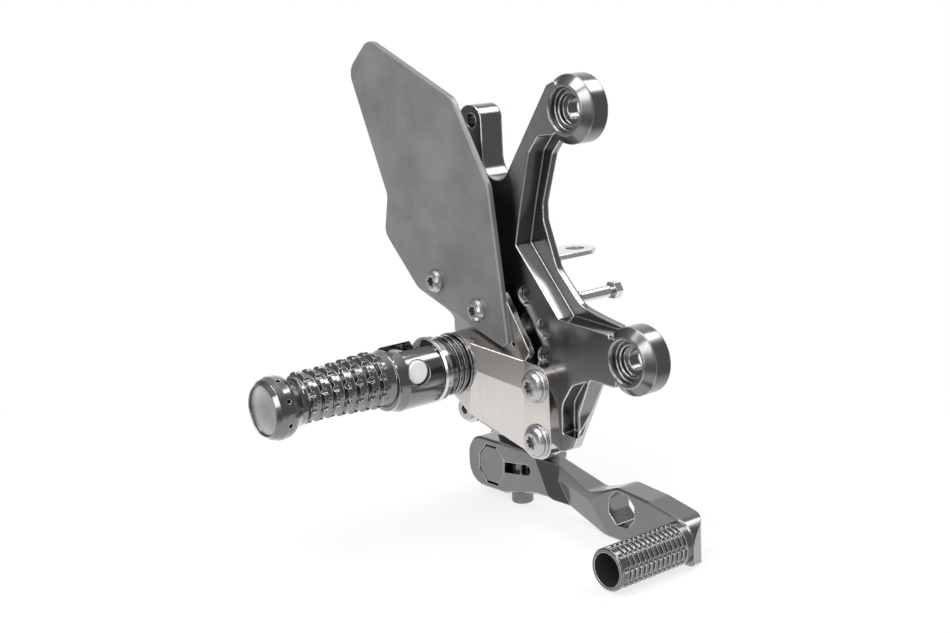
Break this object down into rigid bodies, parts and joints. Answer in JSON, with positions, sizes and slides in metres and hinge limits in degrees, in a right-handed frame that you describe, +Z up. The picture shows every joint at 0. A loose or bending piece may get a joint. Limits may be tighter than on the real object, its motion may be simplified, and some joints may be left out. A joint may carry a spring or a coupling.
{
  "type": "rear set footrest",
  "caption": "Brake-side motorcycle rear set: milled bracket, folding ridged footpeg, heel guard and adjustable brake pedal with toe peg.",
  "frame": {"origin": "axis of the lower frame bolt on the inboard face that lies on the frame", "axes": "+X forwards towards the toe peg, +Y inboard to the bike, +Z up; the footpeg points along -Y"},
  "size_m": [0.2043, 0.1636, 0.2094],
  "materials": {
    "black_anodised": "hard anodised black, satin",
    "champagne_alloy": "anodised champagne grey, fine machined",
    "zinc_steel": "zinc plated",
    "blasted_grey": "bead blasted anodised grey",
    "bright_steel": "bright turned",
    "gunmetal": "satin anodised gunmetal",
    "dark_steel": "black oxide"
  },
  "bodies": {
    "frame_side": {"main_bracket": "black_anodised", "peg_adapter": "champagne_alloy", "adapter_screws": "zinc_steel", "lug_screw": "zinc_steel", "heel_guard": "blasted_grey", "heel_guard_screws": "zinc_steel", "peg_mount": "black_anodised", "peg_mount_screw": "zinc_steel", "stop_collar": "bright_steel", "outer_bearing": "bright_steel", "inner_bearing": "bright_steel", "spring_post": "bright_steel", "switch_bracket": "zinc_steel", "switch_screw": "zinc_steel", "fold_spring": "bright_steel"},
    "footpeg": {"folding_peg": "black_anodised", "peg_end_disc": "blasted_grey", "hinge_pin": "bright_steel", "hinge_clip": "bright_steel"},
    "brake_pedal": {"brake_lever": "gunmetal", "pinch_screw": "dark_steel", "lever_spring_pin": "bright_steel", "toe_peg": "black_anodised", "toe_peg_screw": "dark_steel", "pivot_shaft": "dark_steel", "actuating_arm": "gunmetal", "arm_screw": "dark_steel", "return_spring": "bright_steel"}
  },
  "joints": [
    {"name": "footpeg_fold", "type": "hinge", "parent": "frame_side", "child": "footpeg", "pos_m": [-0.0895, -0.06, -0.0071], "axis": [-1, 0, 0], "range_deg": [0, 85], "stiffness_Nm_per_rad": 0.08, "springref_deg": -34.38},
    {"name": "brake_pedal_turn", "type": "hinge", "parent": "frame_side", "child": "brake_pedal", "pos_m": [-0.092, -0.004, -0.064], "axis": [0, 1, 0], "range_deg": [0, 12], "stiffness_Nm_per_rad": 2, "springref_deg": -20.05, "deforming": ["return_spring"]}
  ]
}
